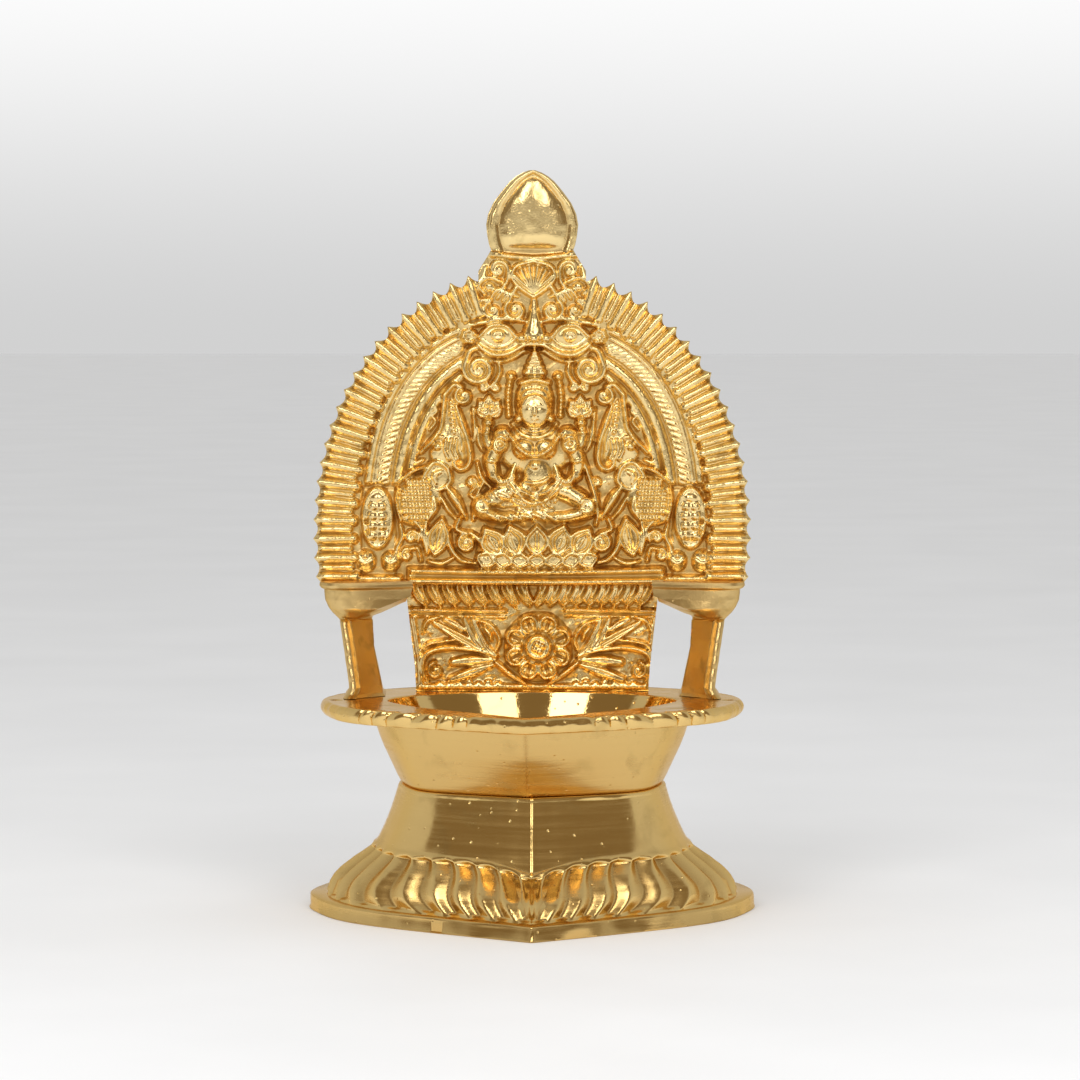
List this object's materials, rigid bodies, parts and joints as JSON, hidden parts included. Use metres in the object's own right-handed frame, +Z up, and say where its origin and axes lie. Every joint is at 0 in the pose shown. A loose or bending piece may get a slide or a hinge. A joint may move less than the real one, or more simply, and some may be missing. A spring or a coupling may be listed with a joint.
{
  "type": "oil lamp",
  "caption": "Small brass oil lamp: a leaf-shaped oil bowl on a flared, fluted foot, with a toothed arched backplate bearing a seated figure in relief.",
  "frame": {"origin": "middle of the flange's bounding box, on the surface the lamp stands on", "axes": "+Z up, -Y towards the front point of the leaf and the side the figure faces, +X to the right seen from the front"},
  "size_m": [0.074, 0.0776, 0.1219],
  "materials": {
    "polished_brass": "machine-polished cast brass with fine pits",
    "cast_brass": "cast relief, buffed on its high places, darker in its recesses",
    "fastener_brass": "plain turned brass"
  },
  "bodies": {
    "root": {"foot": "polished_brass", "bowl": "polished_brass", "backplate": "cast_brass", "centre_stud": "fastener_brass", "stud_washer": "fastener_brass", "stud_nut": "fastener_brass", "pillar_screw_left": "fastener_brass", "pillar_screw_right": "fastener_brass", "heel_screw": "fastener_brass"}
  },
  "joints": []
}
